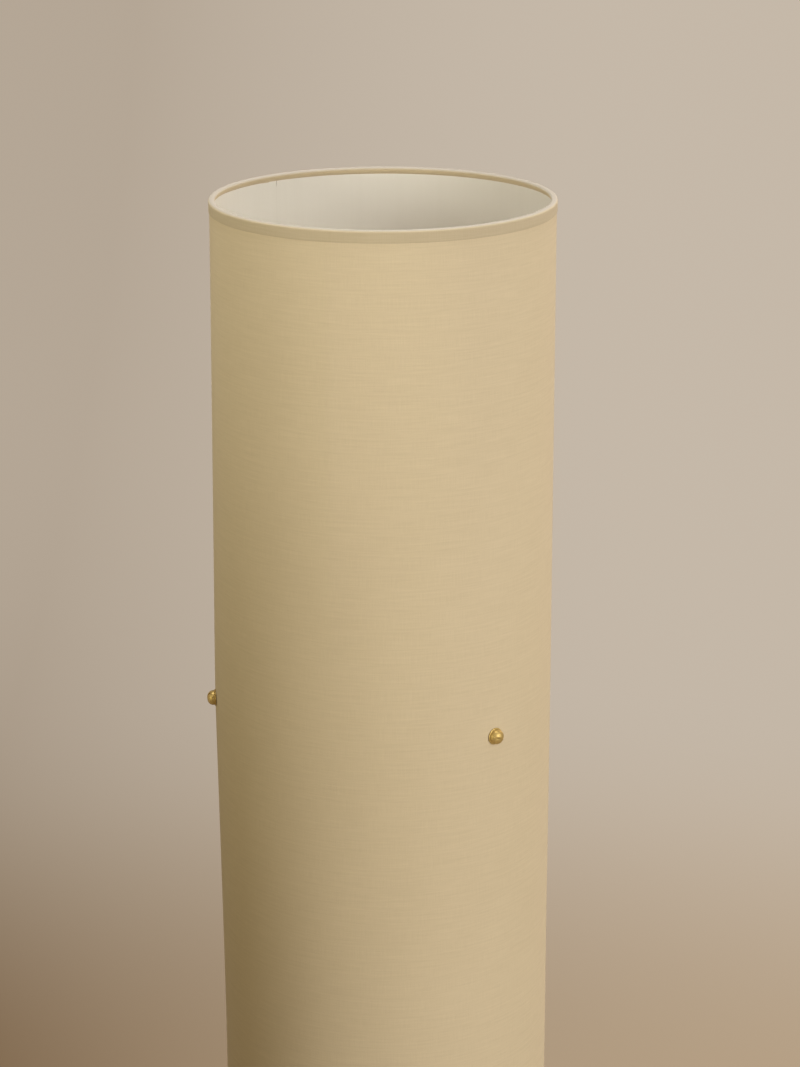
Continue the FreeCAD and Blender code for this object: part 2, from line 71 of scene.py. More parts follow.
bpy.context.scene.view_settings.view_transform = "Standard"


class Value:
    """One number, colour or vector in a finish, with the arithmetic that a pattern needs."""

    def __init__(self, finish, socket):
        self.finish = finish
        self.socket = socket

    def calculate(self, operation, *operands):
        """One operation on the operands given, which are values or plain numbers."""
        return self.finish.node("ShaderNodeMath", {"operation": operation}, dict(enumerate(operands)))

    def __add__(self, other):
        return self.calculate("ADD", self, other)

    def __sub__(self, other):
        return self.calculate("SUBTRACT", self, other)

    def __rsub__(self, other):
        return self.calculate("SUBTRACT", other, self)

    def __mul__(self, other):
        return self.calculate("MULTIPLY", self, other)

    def __truediv__(self, other):
        return self.calculate("DIVIDE", self, other)

    def __pow__(self, other):
        return self.calculate("POWER", self, other)

    def __abs__(self):
        return self.calculate("ABSOLUTE", self)

    __radd__ = __add__
    __rmul__ = __mul__

    def clamp(self):
        return self.finish.node("ShaderNodeClamp", {}, {0: self})

    def part(self, name):
        """Another output of the node that this value comes from."""
        return Value(self.finish, self.socket.node.outputs[name])


MIX_FACTOR, MIX_FIRST, MIX_SECOND, MIX_RESULT = 0, 6, 7, 2      # the colour sockets of a Mix node


class Finish:
    """A material while it is being mixed."""

    def __init__(self, name, colour, roughness, **sockets):
        self.material = bpy.data.materials.new(name)
        self.material.use_nodes = True
        self.tree = self.material.node_tree
        self.shader = self.tree.nodes["Principled BSDF"]
        self.set("Base Color", (*colour, 1))
        self.set("Roughness", roughness)
        for socket, value in sockets.items():
            self.set(socket.replace("_", " "), value)

    def node(self, kind, settings, inputs, output=0):
        """Add one node: its settings first, then the values or links of its sockets."""
        node = self.tree.nodes.new(kind)
        for name, value in settings.items():
            setattr(node, name, value)
        for name, value in inputs.items():
            self.join(node.inputs[name], value)
        return Value(self, node.outputs[output])

    def join(self, socket, value):
        """Feed a socket from another node, or set it to a constant."""
        if isinstance(value, Value):
            self.tree.links.new(value.socket, socket)
        else:
            socket.default_value = value

    def set(self, socket, value):
        """Feed or set one of the shader's own sockets."""
        self.join(self.shader.inputs[socket], value)

    def place(self):
        """Where a point lies in the lamp's own frame, in metres."""
        return self.node("ShaderNodeTexCoord", {}, {}, "Object")

    def cloth_place(self):
        """Where a point lies on the flat cloth, in metres."""
        return self.node("ShaderNodeUVMap", {"uv_map": "cloth"}, {})

    def stretched(self, place, scale, angle=0.0):
        """Coordinates scaled, and turned about Z, for a pattern."""
        inputs = {"Vector": place, "Scale": scale, "Rotation": (0, 0, angle)}
        return self.node("ShaderNodeMapping", {}, inputs)

    def mottle(self, place, scale, detail=2.0, roughness=0.5):
        """Noise from 0 to 1."""
        return self.node("ShaderNodeTexNoise", {},
                         {"Vector": place, "Scale": scale, "Detail": detail, "Roughness": roughness})

    def mix(self, factor, one, other):
        """Blend two colours."""
        one, other = ((*c, 1) if isinstance(c, tuple) else c for c in (one, other))
        inputs = {MIX_FACTOR: factor, MIX_FIRST: one, MIX_SECOND: other}
        return self.node("ShaderNodeMix", {"data_type": "RGBA"}, inputs, MIX_RESULT)

    def bump(self, height, distance, strength):
        """Raise the surface by a pattern."""
        inputs = {"Height": height, "Distance": distance, "Strength": strength}
        return self.node("ShaderNodeBump", {}, inputs)


def from_view(aside, back, height):
    """A place in the room as seen from the camera: to the right, towards the viewer, up."""
    return view_right * aside + view_back * back + Vector((0, 0, height))


def soft_light(name, place, aim, size, watts, colour, spread=180):
    """A soft rectangular light, turned to a height on the lamp's axis."""
    light = bpy.data.lights.new(name, "AREA")
    light.shape = "RECTANGLE"
    light.size, light.size_y = size
    light.energy = watts
    light.color = colour
    light.spread = math.radians(spread)
    stand = bpy.data.objects.new(name, light)
    stand.location = from_view(*place)
    way = Vector((0, 0, aim)) - from_view(*place)
    stand.rotation_euler = way.to_track_quat("-Z", "Y").to_euler()
    bpy.context.collection.objects.link(stand)


soft_light("window", (2.0, 2.2, 1.5), 0.70, (1.8, 2.2), 70, (1.0, 0.99, 0.92))
soft_light("side light", (-1.3, 0.9, 1.42), 1.42, (0.5, 0.5), 0.99, (1.0, 0.99, 0.84), 50)
soft_light("low side light", (-1.3, 0.9, 1.0), 0.9, (0.5, 0.5), 0.23, (1.0, 0.95, 0.45), 50)
soft_light("ceiling", (0, 0, 3.4), 1.0, (0.9, 0.9), 52, (1.0, 0.97, 0.86))
soft_light("back light", (1.6, -2.2, 2.0), 0.7, (1.4, 1.8), 30, (1.0, 0.80, 0.60))

ROOM_LIGHT = (1.0, 0.78, 0.55)
ROOM_LIGHT_STRENGTH = 0.21
world = bpy.data.worlds.new("room light")
world.use_nodes = True
world.node_tree.nodes["Background"].inputs["Color"].default_value = (*ROOM_LIGHT, 1)
world.node_tree.nodes["Background"].inputs["Strength"].default_value = ROOM_LIGHT_STRENGTH
bpy.context.scene.world = world


def pick_none():
    """Leave nothing selected, so that the next operator meets only its own piece."""
    bpy.ops.object.select_all(action="DESELECT")


def turn(name, outline, sides, smooth=30.0):
    """Turn a piece as on a lathe: a circle drawn ring by ring through (radius, height) stations.

    A radius of nothing at either end closes that end with a pole.
    """
    pick_none()
    stations = list(outline)
    pole_below = stations[0][0] == 0
    if pole_below:
        pole_height = stations.pop(0)[1]
    radius, height = stations[0]
    bpy.ops.mesh.primitive_circle_add(vertices=sides, radius=radius, location=(0, 0, 0))
    piece = bpy.context.object
    piece.name = piece.data.name = name
    bpy.ops.object.mode_set(mode="EDIT")
    bpy.ops.mesh.select_all(action="SELECT")
    bpy.ops.transform.translate(value=(0, 0, height))
    if pole_below:
        bpy.ops.mesh.extrude_region_move(TRANSFORM_OT_translate={"value": (0, 0, pole_height - height)})
        bpy.ops.mesh.merge(type="CENTER")
        bpy.ops.mesh.select_all(action="DESELECT")
        bpy.ops.object.mode_set(mode="OBJECT")
        for vertex in piece.data.vertices:
            vertex.select = math.hypot(vertex.co.x, vertex.co.y) > radius / 2
        bpy.ops.object.mode_set(mode="EDIT")
    for next_radius, next_height in stations[1:]:
        bpy.ops.mesh.extrude_region_move(TRANSFORM_OT_translate={"value": (0, 0, next_height - height)})
        if next_radius == 0:
            bpy.ops.mesh.merge(type="CENTER")
            break
        grow = next_radius / radius
        bpy.ops.transform.resize(value=(grow, grow, 1), center_override=(0, 0, next_height))
        radius, height = next_radius, next_height
    bpy.ops.mesh.select_all(action="SELECT")
    bpy.ops.mesh.remove_doubles(threshold=1e-6)
    bpy.ops.mesh.normals_make_consistent(inside=False)
    bpy.ops.object.mode_set(mode="OBJECT")
    bpy.ops.object.shade_smooth_by_angle(angle=math.radians(smooth))
    return piece


def bend(centre, radius, first, last, chords):
    """Stations round a curve of an outline; angles are counted from outwards towards up."""
    stations = []
    for index in range(chords + 1):
        angle = math.radians(first + (last - first) * index / chords)
        stations.append((centre[0] + radius * math.cos(angle), centre[1] + radius * math.sin(angle)))
    return stations


def eased(share):
    """A step from 0 to 1 with soft ends."""
    share = share.clamp()
    return share * share * (3 - share * 2)


# The room is one warm plaster colour with shade painted into it: a little darker all round near the lamp,
# darker and warmer on the floor behind the lamp's left side, and a painted contact shadow just behind the
# lamp.
# It sends less light back to the lamp than it shows, and farther off it is a plain glow that keeps the same
# painted shade.
# All lengths are metres, counted from the lamp's axis.
FLOOR_RADIUS = 2.0
ROOM_RADIUS = 7.0
ROOM_HEIGHT = 6.5
ROOM_SIDES = 96
WALL_LIT = (0.560, 0.482, 0.395)
# the next colour is the plaster in its painted shade
WALL_PAINTED_SHADE = (0.255, 0.185, 0.120)
WALL_BOUNCE = (0.28, 0.22, 0.125)
BLACK = (0.0, 0.0, 0.0)
SHADOWS_TO = 0.7        # the floor takes real shadows this far, and glows fully from the next
GLOW_FROM = 2.2
DIM_WITHIN, DIM_FADE = 3.4, 2.4
CLOSE_WITHIN, CLOSE_FADE = 1.9, 0.9
BEHIND_FROM, BEHIND_FADE = 0.1, 0.8
LEFT_WITHIN, LEFT_FADE = 1.8, 0.9
LEFT_SLOPE = 0.85
room = Finish("plaster", WALL_LIT, 1.0, Emission_Strength=1.0, Specular_IOR_Level=0.0)
east = room.node("ShaderNodeSeparateXYZ", {}, {0: room.place()})
north = east.part("Y")
away = (east * east + north * north) ** 0.5
beside = east * view_right.x + north * view_right.y
behind = east * -view_back.x + north * -view_back.y
hidden = eased((behind - BEHIND_FROM) / BEHIND_FADE)
left = (0.5 - beside * LEFT_SLOPE).clamp() * eased((beside + LEFT_WITHIN) / LEFT_FADE) * hidden
# The mix below paints shade into the plaster: a little within DIM_WITHIN all round, more behind the lamp's
# left side, and a painted contact shadow close behind it.
low = ((DIM_WITHIN - away) / DIM_FADE).clamp() ** 2
close = eased((CLOSE_WITHIN - away) / CLOSE_FADE) * hidden
painted_shade = (left ** 2 * 0.33 + low * (left ** 3 * 0.55 + 0.10) + close * 0.25).clamp()
tone = room.mix(painted_shade, WALL_LIT, WALL_PAINTED_SHADE)
glow = eased((away - SHADOWS_TO) / (GLOW_FROM - SHADOWS_TO))
rays = room.node("ShaderNodeLightPath", {}, {})
seen = (rays + rays.part("Is Glossy Ray") + rays.part("Is Transmission Ray")).clamp()
room.set("Base Color", room.mix(seen, WALL_BOUNCE, room.mix(glow, tone, BLACK)))
room.set("Emission Color", room.mix(seen * glow, BLACK, tone))
floor = turn("floor", [(0, 0), (0.5, 0), (1.0, 0), (FLOOR_RADIUS, 0)], ROOM_SIDES)
floor.data.materials.append(room.material)
sweep = ROOM_RADIUS - FLOOR_RADIUS
curve = bend((FLOOR_RADIUS, sweep), sweep, -90, 0, 24)
wall = turn("wall", curve + [(ROOM_RADIUS, ROOM_HEIGHT)], ROOM_SIDES, 60)
wall.data.materials.append(room.material)
wall.visible_diffuse = False
wall.visible_shadow = False


# ---------------------------------------------------------------- Cloth of the shade
# A fine cream cloth bonded to a stiff white sheet and rolled to a cylinder 250 mm across.
# Its ends overlap by 12 mm at the back left, and three arms inside press it out at the screws.
SHADE_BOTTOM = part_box("hem_tapes")[0][2]
CLOTH_RADIUS = 0.1245
CLOTH = 0.0005
LINER = 0.0008
WALL_BOTTOM = 0.0181
WALL_TOP = LAMP_TOP - 0.0021
SCREW_HEIGHT = LAMP_TOP - 0.375
SCREW_AZIMUTH = {"right": 60, "left": -60, "back": 180}
BULGE = 0.0032          # how far the arms press the wall out at each screw
BULGE_UP = 0.364        # the bulge's reach above the screws
BULGE_DOWN = 0.280      # and below them
BULGE_POWER = 1.25
CREST = 0.06            # rounding of the bulge's crest, as a share of its reach
PINCH = 0.0002          # the cloth rises to the washer's back
PINCH_REACH = 0.007
UNEVEN = 0.00016        # a hand-rolled wall is never quite round
WAVES_AROUND = 2.1
WAVES_ALONG = 7.0
TRUE_END = 0.06         # the rings keep the wall round this near its ends
HOLE_RADIUS = 0.0023
WALL_COLUMNS = 240
ROW_STEP = 0.0225
SEAM_AZIMUTH = -120
CREAM = (0.645, 0.540, 0.385)


def azimuth_of(place):
    """Degrees from the lamp's front towards its right."""
    return math.degrees(math.atan2(place[0], -place[1]))


def outward(azimuth):
    """The way out from the stem at an azimuth."""
    return Vector((math.sin(math.radians(azimuth)), -math.cos(math.radians(azimuth)), 0))


def apart(one, other):
    """The smaller angle between two azimuths, in degrees."""
    return abs((one - other + 180) % 360 - 180)


def bulge(azimuth, height):
    """How far the arms press the wall outwards: a soft tent that peaks at each screw."""
    around = 0.5 + 0.5 * math.cos(math.radians(3 * (azimuth - SCREW_AZIMUTH["right"])))
    if height > SCREW_HEIGHT:
        away = (height - SCREW_HEIGHT) / BULGE_UP
    else:
        away = (SCREW_HEIGHT - height) / BULGE_DOWN
    rounded = (math.hypot(away, CREST) - CREST) / (math.hypot(1, CREST) - CREST)
    return BULGE * around * max(0.0, 1 - rounded) ** BULGE_POWER


def unevenness(out, height):
    """How far the wall strays from round, in slow waves round it and along it."""
    return UNEVEN * noise.noise(Vector((out.x * WAVES_AROUND, out.y * WAVES_AROUND, height * WAVES_ALONG)))


def lie_on_wall(piece):
    """Move a plain cylinder's points onto the pressed and slightly uneven wall."""
    for vertex in piece.data.vertices:
        place = vertex.co.copy()
        azimuth, height = azimuth_of(place), place.z
        out = outward(azimuth)
        radius = math.hypot(place.x, place.y) + bulge(azimuth, height)
        fade = min(1.0, (LAMP_TOP - height) / TRUE_END, (height - SHADE_BOTTOM) / TRUE_END)
        radius += max(0.0, fade) * unevenness(out, height)
        for screw in SCREW_AZIMUTH.values():
            gap = math.hypot(apart(azimuth, screw) * math.radians(CLOTH_RADIUS), height - SCREW_HEIGHT)
            radius += PINCH * math.exp(-(gap / PINCH_REACH) ** 2)
        vertex.co = out * radius + Vector((0, 0, height))


def apply_all(piece):
    """Apply a piece's modifiers in their order."""
    pick_none()
    piece.select_set(True)
    bpy.context.view_layer.objects.active = piece
    for modifier in list(piece.modifiers):
        bpy.ops.object.modifier_apply(modifier=modifier.name)


def drill(piece):
    """Punch the three screw holes through a wall."""
    for side, azimuth in SCREW_AZIMUTH.items():
        pick_none()
        bpy.ops.mesh.primitive_cylinder_add(vertices=32, radius=HOLE_RADIUS, depth=0.02)
        punch = bpy.context.object
        out = outward(azimuth)
        seat = Matrix.Translation(out * (CLOTH_RADIUS + BULGE) + Vector((0, 0, SCREW_HEIGHT)))
        punch.matrix_world = seat @ out.to_track_quat("Z", "Y").to_matrix().to_4x4()
        hole = piece.modifiers.new("hole " + side, "BOOLEAN")
        hole.operation, hole.solver, hole.object = "DIFFERENCE", "EXACT", punch
        apply_all(piece)
        bpy.data.objects.remove(punch)


def give_map(piece, name, uv_of):
    """Give a piece one UV map, from each corner's place and the middle of its face."""
    mesh = piece.data
    layer = mesh.uv_layers.new(name=name)
    mesh.uv_layers.active = layer
    for face in mesh.polygons:
        for corner in face.loop_indices:
            place = mesh.vertices[mesh.loops[corner].vertex_index].co
            layer.data[corner].uv = uv_of(place, face.center)
    for spare in [other for other in mesh.uv_layers if other.name != name]:
        mesh.uv_layers.remove(spare)


def map_cloth(piece, reach_of=None):
    """Give a piece the flat cloth's own coordinates: metres round the shade, then metres along."""
    def uv_of(place, middle):
        azimuth, middle = azimuth_of(place), azimuth_of(middle)
        if azimuth - middle > 180:
            azimuth -= 360
        elif middle - azimuth > 180:
            azimuth += 360
        along = place.z if reach_of is None else reach_of(place)
        return math.radians(azimuth) * CLOTH_RADIUS, along

    give_map(piece, "cloth", uv_of)


def row_heights():
    """Rows of the wall: close together at the screws and ends, wider elsewhere."""
    near_end, near_screw = 0.004, (0.0032, 0.0066, 0.011, 0.018, 0.028)
    above_bottom, below_top, off_screw = 0.02, 0.012, 0.036     # where the plain rows may lie
    heights = {WALL_BOTTOM, WALL_BOTTOM + near_end, WALL_TOP, WALL_TOP - near_end}
    heights |= {SCREW_HEIGHT + step for step in near_screw} | {SCREW_HEIGHT - step for step in near_screw}
    height = WALL_BOTTOM + above_bottom
    while height < WALL_TOP - below_top:
        if abs(height - SCREW_HEIGHT) > off_screw:
            heights.add(height)
        height += ROW_STEP
    return sorted(heights)


rows = row_heights()


def wall_layer(name, outside, inside):
    """One layer of the wall: a thin tube, pressed out by the arms, punched and mapped."""
    outline = [(outside, z) for z in rows] + [(inside, z) for z in reversed(rows)] + [(outside, rows[0])]
    layer = turn(name, outline, WALL_COLUMNS)
    lie_on_wall(layer)
    drill(layer)
    map_cloth(layer)
    return layer


def scaled(colour, *shares):
    """A colour with each part multiplied by its share, or all by one."""
    if len(shares) == 1:
        shares *= len(colour)
    return tuple(min(1.0, part * share) for part, share in zip(colour, shares))


def cloth_finish(name, colour, angle=0.0):
    """A cream plain weave from a step away: uneven threads both ways and a few thicker slubs."""
    finish = Finish(name, colour, 0.88, Sheen_Weight=0.12, Sheen_Roughness=0.6, Specular_IOR_Level=0.25)
    place = finish.cloth_place()
    warp = finish.mottle(finish.stretched(place, (1900, 70, 1), angle), 1.0, 3.0, 0.6)
    weft = finish.mottle(finish.stretched(place, (60, 1700, 1), angle), 1.0, 3.0, 0.6)
    slub = finish.mottle(finish.stretched(place, (26, 620, 1), angle), 1.0, 2.0, 0.5)
    cloud = finish.mottle(place, 9.0, 3.0, 0.55)
    thread = (warp * 0.5 + weft * 0.5 + (slub - 0.5) * 0.5 + (cloud - 0.5) * 0.22).clamp()
    dark, light = scaled(colour, 0.925, 0.915, 0.885), scaled(colour, 1.055)
    finish.set("Base Color", finish.mix((thread - 0.5) * 1.9 + 0.5, dark, light))
    raised = warp * 0.5 + weft * 0.6 + slub * 0.5
    finish.set("Normal", finish.bump(raised, 0.00022, 0.55))
    finish.set("Roughness", (cloud * 0.1 + 0.82).clamp())
    return finish


cream_cloth = cloth_finish("cream cloth", CREAM)
cloth_inside = CLOTH_RADIUS - CLOTH
cloth = wall_layer("cloth", CLOTH_RADIUS, cloth_inside)
cloth.data.materials.append(cream_cloth.material)
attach(cloth, "root")
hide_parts("shade_cloth")

# The glued overlap: the outer end of the cloth is folded in and stuck down over the inner end.
OVERLAP = 0.012
OVERLAP_RISE = 0.00055
OVERLAP_SKIN = 0.0003
OVERLAP_ROWS = 90
OVERLAP_END = 0.0055    # it ends this far inside the tapes
OVERLAP_SINK = 0.0001   # its edges lie this deep in the cloth
WANDER = 0.00035        # how far its cut edge strays from a straight line


def overlap_strip():
    """A long thin strip with a rounded cut edge on one side and a feathered one on the other."""
    pick_none()
    low, high = WALL_BOTTOM + OVERLAP_END, WALL_TOP - OVERLAP_END
    across = [(-0.5, 0.0), (-0.494, 0.55), (-0.478, 0.9), (-0.45, 1.0),
              (-0.1, 0.95), (0.25, 0.55), (0.5, 0.0)]
    bpy.ops.mesh.primitive_grid_add(x_subdivisions=len(across) - 1, y_subdivisions=OVERLAP_ROWS, size=1)
    strip = bpy.context.object
    strip.name = strip.data.name = "cloth_overlap"
    count = len(across)
    for index, vertex in enumerate(strip.data.vertices):
        share, rise = across[index % count]
        height = low + (high - low) * (vertex.co.y + 0.5)
        wander = WANDER * noise.noise(Vector((height * 9.0, 0.3, 7.1)))
        azimuth = SEAM_AZIMUTH + math.degrees((share * OVERLAP + wander) / CLOTH_RADIUS)
        out = outward(azimuth)
        radius = CLOTH_RADIUS - OVERLAP_SINK + bulge(azimuth, height) + OVERLAP_RISE * rise
        radius += unevenness(out, height)
        vertex.co = out * radius + Vector((0, 0, height))
    body = strip.modifiers.new("body", "SOLIDIFY")
    body.thickness = OVERLAP_SKIN
    body.offset = -1 if strip.data.polygons[0].normal.dot(outward(SEAM_AZIMUTH)) > 0 else 1
    apply_all(strip)
    bpy.ops.object.mode_set(mode="EDIT")
    bpy.ops.mesh.select_all(action="SELECT")
    bpy.ops.mesh.normals_make_consistent(inside=False)
    bpy.ops.object.mode_set(mode="OBJECT")
    bpy.ops.object.shade_smooth_by_angle(angle=math.radians(40))
    return strip


overlap = overlap_strip()
map_cloth(overlap)
overlap.data.materials.append(cream_cloth.material)
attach(overlap, "root")


# ---------------------------------------------------------------- Lining
# A stiff off-white sheet behind the cloth, smooth on its inner face.  It keeps the shade's
# shape, carries the screws' clamping and shows inside the rim.
LINING_WHITE = (0.92, 0.895, 0.85)
LINING_GAP = 0.00002    # from the cloth's back
JOINT_AZIMUTH = -118.2  # the sheet's two ends meet here
JOINT_WIDTH = 0.0005
JOINT_DARK = (0.22, 0.17, 0.11)
JOINT_OPENS = LAMP_TOP - 0.0105         # it gapes a little under the rim
lining_finish = Finish("white lining", LINING_WHITE, 0.62, Specular_IOR_Level=0.35)
sheet_place = lining_finish.cloth_place()
streak = lining_finish.mottle(lining_finish.stretched(sheet_place, (240, 3, 1)), 1.0, 3.0, 0.6)
cloudy = lining_finish.mottle(sheet_place, 14.0, 3.0, 0.55)
lining_white = lining_finish.mix(
    streak * 0.5 + cloudy * 0.5, scaled(LINING_WHITE, 0.95, 0.945, 0.93), scaled(LINING_WHITE, 1.03))
around = lining_finish.node("ShaderNodeSeparateXYZ", {}, {0: sheet_place})
beside_joint = abs(around - math.radians(JOINT_AZIMUTH) * CLOTH_RADIUS)
joint_line = (1 - beside_joint / JOINT_WIDTH).clamp()
near_rim = ((around.part("Y") - JOINT_OPENS) / 0.003).clamp()
lining_finish.set("Base Color", lining_finish.mix(
    joint_line * (near_rim * 0.60 + 0.07), lining_white, JOINT_DARK))
lining_finish.set("Normal", lining_finish.bump(streak + cloudy, 0.0001, 0.25))

lining_inside = cloth_inside - LINER
lining = wall_layer("lining", cloth_inside - LINING_GAP, lining_inside)
lining.data.materials.append(lining_finish.material)
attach(lining, "root")
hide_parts("shade_liner")


# ---------------------------------------------------------------- Rings
# Plated wire rings stiffen both ends of the shade.  Each lies against the lining inside the tape.
def plated(name, bright, dull, roughness):
    """Plated steel with a faint cloudy passivation."""
    finish = Finish(name, bright, roughness, Metallic=1.0)
    cloud = finish.mottle(finish.place(), 180.0, 4.0, 0.6)
    fine = finish.mottle(finish.place(), 2400.0, 2.0, 0.5)
    finish.set("Base Color", finish.mix(((cloud - 0.5) * 2.2 + 0.4).clamp(), bright, dull))
    finish.set("Roughness", (cloud * 0.20 + fine * 0.06 + roughness - 0.12).clamp())
    finish.set("Normal", finish.bump(fine, 0.00001, 0.3))
    return finish


zinc = plated("zinc plate", (0.60, 0.59, 0.56), (0.42, 0.41, 0.39), 0.38)
TAPE = 0.0005
WIRE = 0.00115
RING_CLEAR = 0.00003
RING_RADIUS = lining_inside - WIRE - RING_CLEAR
RING_HEIGHT = LAMP_TOP - TAPE - WIRE - 0.00005
for name, height in (("top_ring", RING_HEIGHT), ("bottom_ring", LAMP_TOP + SHADE_BOTTOM - RING_HEIGHT)):
    pick_none()
    bpy.ops.mesh.primitive_torus_add(major_radius=RING_RADIUS, minor_radius=WIRE, major_segments=180,
                                     minor_segments=16, location=(0, 0, 0))
    ring = bpy.context.object
    ring.name = ring.data.name = name
    ring.data.transform(Matrix.Translation((0, 0, height)))
    bpy.ops.object.shade_smooth()
    ring.data.materials.append(zinc.material)
    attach(ring, "root")
    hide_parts("shade_rings")


# ---------------------------------------------------------------- Hem tapes
# Bias tape of the same cloth: stuck 9 mm down the outside, taken over the rim and the wire
# ring, and tucked back by hand against the lining.  Its fold over the top of the roll carries a pale
# painted highlight; its ends lap.
HEM_RADIUS = 0.125
HEM_DEPTH = 0.0090
HEM_CORNER = 0.0020
HEM_INSIDE = 0.0054
HEM_EDGE = 0.00022
ROLL = WIRE + TAPE
TUCK = 0.00040          # how unevenly the inner edge is tucked
TUCK_REACH = 0.003      # from the wire's middle down to the tuck
LUMPS = 0.00010         # how far the roll strays from true, in slow lumps
RIPPLES = 0.00007       # and in quick ones
CUT_EDGE = 0.0004       # the outer edge is this deep
CUT_WAVE = 0.00018      # and wanders this far up and down
LAP = 0.0004            # the step where the tape's ends lie over each other
LAP_AZIMUTH = -111.7
LAP_REACH = 2.4
HEM_SIDES = 300
HEM_CREAM = scaled(CREAM, 0.82)
# the next colour is a painted highlight on the top of the roll
FOLD_PAINTED_HIGHLIGHT = (0.42, 0.385, 0.355)
INNER_CREAM = (0.73, 0.595, 0.39)


def hem_outline():
    """The tape's section at the rim, from its lower outside edge round to the tucked end and back."""
    corner = (HEM_RADIUS - HEM_CORNER, LAMP_TOP - HEM_CORNER)
    ring = (RING_RADIUS, RING_HEIGHT)
    foot = LAMP_TOP - HEM_DEPTH
    tucked = lining_inside - 0.00008
    outside = [(CLOTH_RADIUS + 0.0001, foot + 0.00005)]
    outside += bend((HEM_RADIUS - HEM_EDGE, foot + HEM_EDGE), HEM_EDGE, -90, 0, 3)
    outside += [(HEM_RADIUS, foot + step) for step in (0.0012, 0.0032, 0.0052)]
    outside += bend(corner, HEM_CORNER, 0, 90, 7)
    outside += bend(ring, ROLL, 90, 196, 12)
    outside += [(ring[0] - 0.00135, LAMP_TOP - 0.0034), (ring[0] - 0.0006, LAMP_TOP - 0.0044),
                (ring[0] + 0.0004, LAMP_TOP - 0.0051), (tucked, LAMP_TOP - HEM_INSIDE)]
    inside = [(tucked, LAMP_TOP - HEM_INSIDE + TAPE), (ring[0] + 0.0004, LAMP_TOP - 0.0045),
              (ring[0] - 0.0003, LAMP_TOP - 0.0039), (ring[0] - 0.00085, LAMP_TOP - 0.0032)]
    inside += bend(ring, ROLL - TAPE, 196, 90, 9)
    inside += bend(corner, HEM_CORNER - TAPE, 90, 0, 4)
    inside += [(CLOTH_RADIUS + 0.00002, foot + 0.003)]
    return outside, inside


def hem_finish():
    """The cloth cut on the bias: greyer outside, with a pale painted highlight along the fold on top of the
    roll, and lighter inside.
    """
    finish = cloth_finish("hem cloth", HEM_CREAM, math.radians(45))
    woven = Value(finish, finish.shader.inputs["Base Color"].links[0].from_socket)
    across_tape = finish.node("ShaderNodeSeparateXYZ", {}, {0: finish.cloth_place()}).part("Y")
    # The band along the fold, over the top of the roll, is a painted highlight.
    fold = ((across_tape - 0.0080) / 0.0014).clamp() - ((across_tape - 0.0126) / 0.0020).clamp()
    inner = ((across_tape - 0.0125) / 0.0010).clamp()
    finish.set("Base Color", finish.mix(fold, finish.mix(inner * 0.7, woven, INNER_CREAM), FOLD_PAINTED_HIGHLIGHT))
    return finish


def hem_tape(name, upside_down):
    """One tape, turned and then worked by hand: wavy at the tuck, a little lumpy on the roll."""
    outside, inside = hem_outline()
    outline = outside + inside + outside[:1]
    tape = turn(name, outline, HEM_SIDES, 50)
    reach = [0.0]
    for one, other in zip(outside, outside[1:]):
        reach.append(reach[-1] + math.dist(one, other))

    def reach_of(place):
        station = (math.hypot(place.x, place.y), place.z)
        return min(zip((math.dist(station, other) for other in outside), reach))[1]

    map_cloth(tape, reach_of)
    for vertex in tape.data.vertices:
        place = vertex.co.copy()
        azimuth = azimuth_of(place)
        out = outward(azimuth)
        radius = math.hypot(place.x, place.y)
        seed = Vector((out.x * 5.0, out.y * 5.0, 3.0 if upside_down else 0.0))
        slow, quick = noise.noise(seed), noise.noise(seed * 4.5)
        within = radius < HEM_RADIUS - HEM_CORNER
        at_tuck = max(0.0, min(1.0, (RING_HEIGHT - place.z) / TUCK_REACH)) if within else 0.0
        lap = LAP if within and apart(azimuth, LAP_AZIMUTH) < LAP_REACH else 0.0
        radius += (1.0 if within else 0.3) * (LUMPS * slow + RIPPLES * quick) - lap * 0.6
        place.z += at_tuck * TUCK * (0.6 * slow + 0.8 * quick)
        place.z += lap * (0.3 - at_tuck) - 0.00005 * abs(quick)
        if place.z < LAMP_TOP - HEM_DEPTH + CUT_EDGE and radius > CLOTH_RADIUS:
            place.z += CUT_WAVE * slow
        if upside_down:
            place.z = LAMP_TOP + SHADE_BOTTOM - place.z
        vertex.co = out * radius + Vector((0, 0, place.z))
    if upside_down:
        tape.data.flip_normals()
    tape.data.materials.append(hem_cloth.material)
    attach(tape, "root")
    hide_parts("hem_tapes")
    return tape


hem_cloth = hem_finish()
top_tape = hem_tape("top_hem", False)
lower_tape = hem_tape("bottom_hem", True)


# ---------------------------------------------------------------- Shade screws and washers
# Three slotted brass screws, turned and lightly aged, pass through thin brass washers, the cloth
# and the lining into the bosses on the arms.  Each slot stands where the hand left it.
HEAD_RADIUS = 0.0055
HEAD_HEIGHT = 0.0055
HEAD_SIDE = 0.0010
SHANK_RADIUS = 0.0020
SCREW_LENGTH = 0.0117
SCREW_PITCH = 0.0007
THREAD_DEPTH = 0.00028
SLOT_WIDTH = 0.0013
SLOT_DEPTH = 0.0019
WASHER_RADIUS = 0.00625
SCREW_TURN = {"right": -18, "left": 70, "back": -35}
DOME_STEPS = 12
DOME_LEAN = 6.6         # degrees for each step of the dome
WASHER = 0.0007
WASHER_GAP = 0.00025    # from the cloth's plain bulge, which rises to it in a pinch
HEAD_GAP = 0.0010       # from the same place to the head's underside
TURNED_SIDES = 56
LATHE_MAP = 0.01        # the lathe's map counts turns at this radius


def map_turned(piece):
    """Give a turned piece the lathe's coordinates: round it, then metres along its outline."""
    def uv_of(place, middle):
        return math.atan2(place.y, place.x) * LATHE_MAP, math.hypot(place.x, place.y) + place.z

    give_map(piece, "turned", uv_of)


